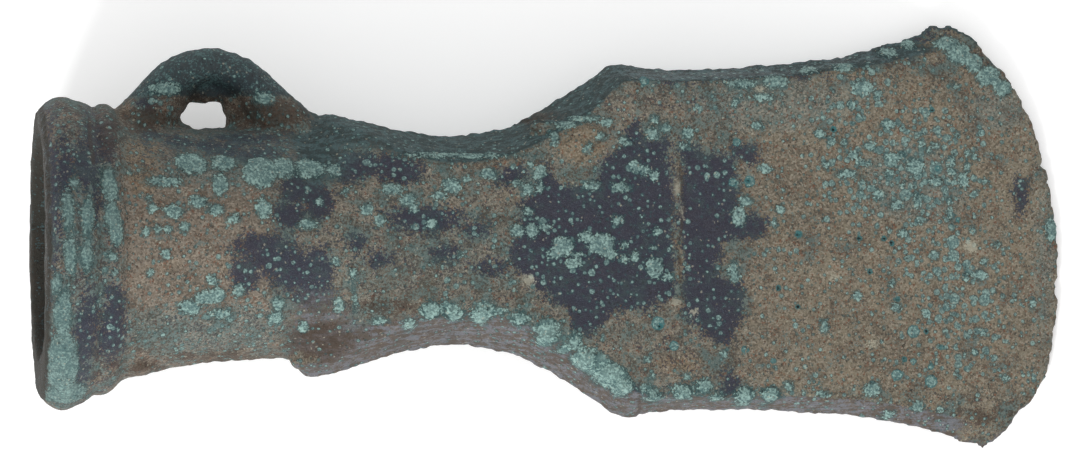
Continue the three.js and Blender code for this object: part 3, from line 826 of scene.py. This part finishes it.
def small_marks(crust, colour, pale):
    """Discs, pits, cream flecks, the crack, the socket's wall, dark earth deepened as painted shade, and
    stray grains.
    """
    blotch, fine = crust.blotch, crust.fine
    ring = crust.field("ring") + fine * 0.4 + crust.dither * 0.1
    pit = crust.field("pit") + fine * 0.3
    # The socket's wall and the mouth's face: dark earth, deepened as painted shade.
    wall = mix((blotch + fine * 1.5).ramp(0.12, 0.25), SOCKET_EARTH_AND_SHADE, SHADED_TEAL_PATINA)
    colour = mix(ring.ramp(-0.02, 0.1) * 0.8, colour, TURQUOISE)
    colour = mix(ring.ramp(0.16, 0.26) * 0.8, colour, pale)
    colour = mix(pit.ramp(-0.02, 0.08) * 0.85, colour, TURQUOISE)
    colour = mix(pit.ramp(0.14, 0.24) * 0.95, colour, BLACK)
    colour = mix(crust.patch("cream", 0.5, 0.2) * 0.65, colour, CREAM)
    colour = mix((crust.field("crack") + fine * 0.5).ramp(-0.1, 0.15) * 0.6, colour, SOIL_AND_SHADE)
    colour = mix(crust.field("socket") * 0.92, colour, wall)
    colour = mix((crust.kind - 0.982).ramp(0.0, 0.012) * 0.45 * crust.outside, colour, CREAM)
    return mix((crust.other - 0.96).ramp(0.0, 0.02) * 0.55, colour, BLACK)


def bronze_crust():
    """Old cast bronze under a crust of earth, with dark patina and pale green corrosion breaking through."""
    material = bpy.data.materials.new("buried_bronze")
    material.use_nodes = True
    tree = material.node_tree
    tree.nodes.clear()
    crust = Crust(tree)
    pale = pale_green(crust)
    colour = mottled(crust, packed_earth(crust))
    colour = sides(crust, dark_patina(crust, colour))
    colour = small_marks(crust, growths(crust, colour, pale), pale)
    covered = 1 - crust.dark
    grains = crust.tiny + crust.fine * 0.5
    height = grains * 0.9 + crust.dither * 0.25 + covered * 0.35 + crust.mint * 0.4 + crust.blotch * 0.4
    roughness = 0.58 + covered * 0.3 + crust.mint * 0.05
    bumps = height.node("ShaderNodeBump", Strength=0.9, Distance=0.26 * MM, Height=height)
    shader = bumps.node(
        "ShaderNodeBsdfPrincipled", Base_Color=colour, Roughness=roughness, Normal=bumps,
        Specular_IOR_Level=0.35,
    )
    shader.node("ShaderNodeOutputMaterial", out=None, Surface=shader)
    return material


# ---- The table, the light and the camera ----
def pale_floor():
    deselect_all()
    bpy.ops.mesh.primitive_plane_add(size=6)
    floor = bpy.context.active_object
    floor.name = "table"
    material = bpy.data.materials.new("pale_table")
    material.use_nodes = True
    surface = material.node_tree.nodes["Principled BSDF"]
    surface.inputs["Base Color"].default_value = (0.97, 0.97, 0.97, 1)
    surface.inputs["Roughness"].default_value = 0.9
    surface.inputs["Emission Color"].default_value = (1, 1, 1, 1)
    surface.inputs["Emission Strength"].default_value = 0.16
    floor.data.materials.append(material)


def soft_light(name, location, watts, size):
    lamp = bpy.data.lights.new(name, "AREA")
    lamp.energy = watts
    lamp.size = size
    thing = bpy.data.objects.new(name, lamp)
    thing.location = location
    thing.rotation_euler = (-Vector(location)).to_track_quat("-Z", "Y").to_euler()
    bpy.context.scene.collection.objects.link(thing)


def studio():
    world = bpy.data.worlds.new("studio")
    world.use_nodes = True
    world.node_tree.nodes["Background"].inputs["Color"].default_value = (1, 1, 1, 1)
    world.node_tree.nodes["Background"].inputs["Strength"].default_value = 0.78
    bpy.context.scene.world = world
    bpy.context.scene.view_settings.view_transform = "Standard"
    soft_light("window", (-0.3, -0.75, 0.5), 7.4, 0.3)
    soft_light("ceiling", (0.2, 0.6, 0.8), 2.2, 0.9)


CAMERA_ELEVATION = math.radians(86.69)
CAMERA_AZIMUTH = math.radians(0.86)
CAMERA_ROLL = math.radians(1.54)
CAMERA_DISTANCE = 1.0
LENS = 263.7
AIM_HEIGHT = 9 * MM
# How far the aim lies left of the middle of the axe, and below it in the picture.
AIM_LEFT, AIM_BELOW = 0.458 * MM, 0.105 * MM


def camera_directions():
    """The camera's right, up and back."""
    se, ce = math.sin(CAMERA_ELEVATION), math.cos(CAMERA_ELEVATION)
    sa, ca = math.sin(CAMERA_AZIMUTH), math.cos(CAMERA_AZIMUTH)
    back = Vector((sa * ce, -ca * ce, se))
    level = Vector((-sa * se, ca * se, ce))
    side = level.cross(back)
    up = level * math.cos(CAMERA_ROLL) + side * math.sin(CAMERA_ROLL)
    right = side * math.cos(CAMERA_ROLL) - level * math.sin(CAMERA_ROLL)
    return right, up, back


def camera():
    right, up, back = camera_directions()
    aim = Vector((0, 0, AIM_HEIGHT)) - right * AIM_LEFT - up * AIM_BELOW
    eye = bpy.data.cameras.new("camera")
    eye.sensor_width = 36
    eye.lens = LENS
    eye.clip_start = 0.01
    thing = bpy.data.objects.new("camera", eye)
    thing.location = aim + back * CAMERA_DISTANCE
    thing.rotation_euler = Matrix([(right[i], up[i], back[i]) for i in range(3)]).to_euler()
    bpy.context.scene.collection.objects.link(thing)
    bpy.context.scene.camera = thing


studio()
camera()
pale_floor()
axe = remeshed_casting()
sculpt(axe)
slim(axe)
axe.data.materials.clear()
axe.data.materials.append(bronze_crust())
for face in axe.data.polygons:
    face.material_index = 0
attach(axe, "root")
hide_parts("axe_head")
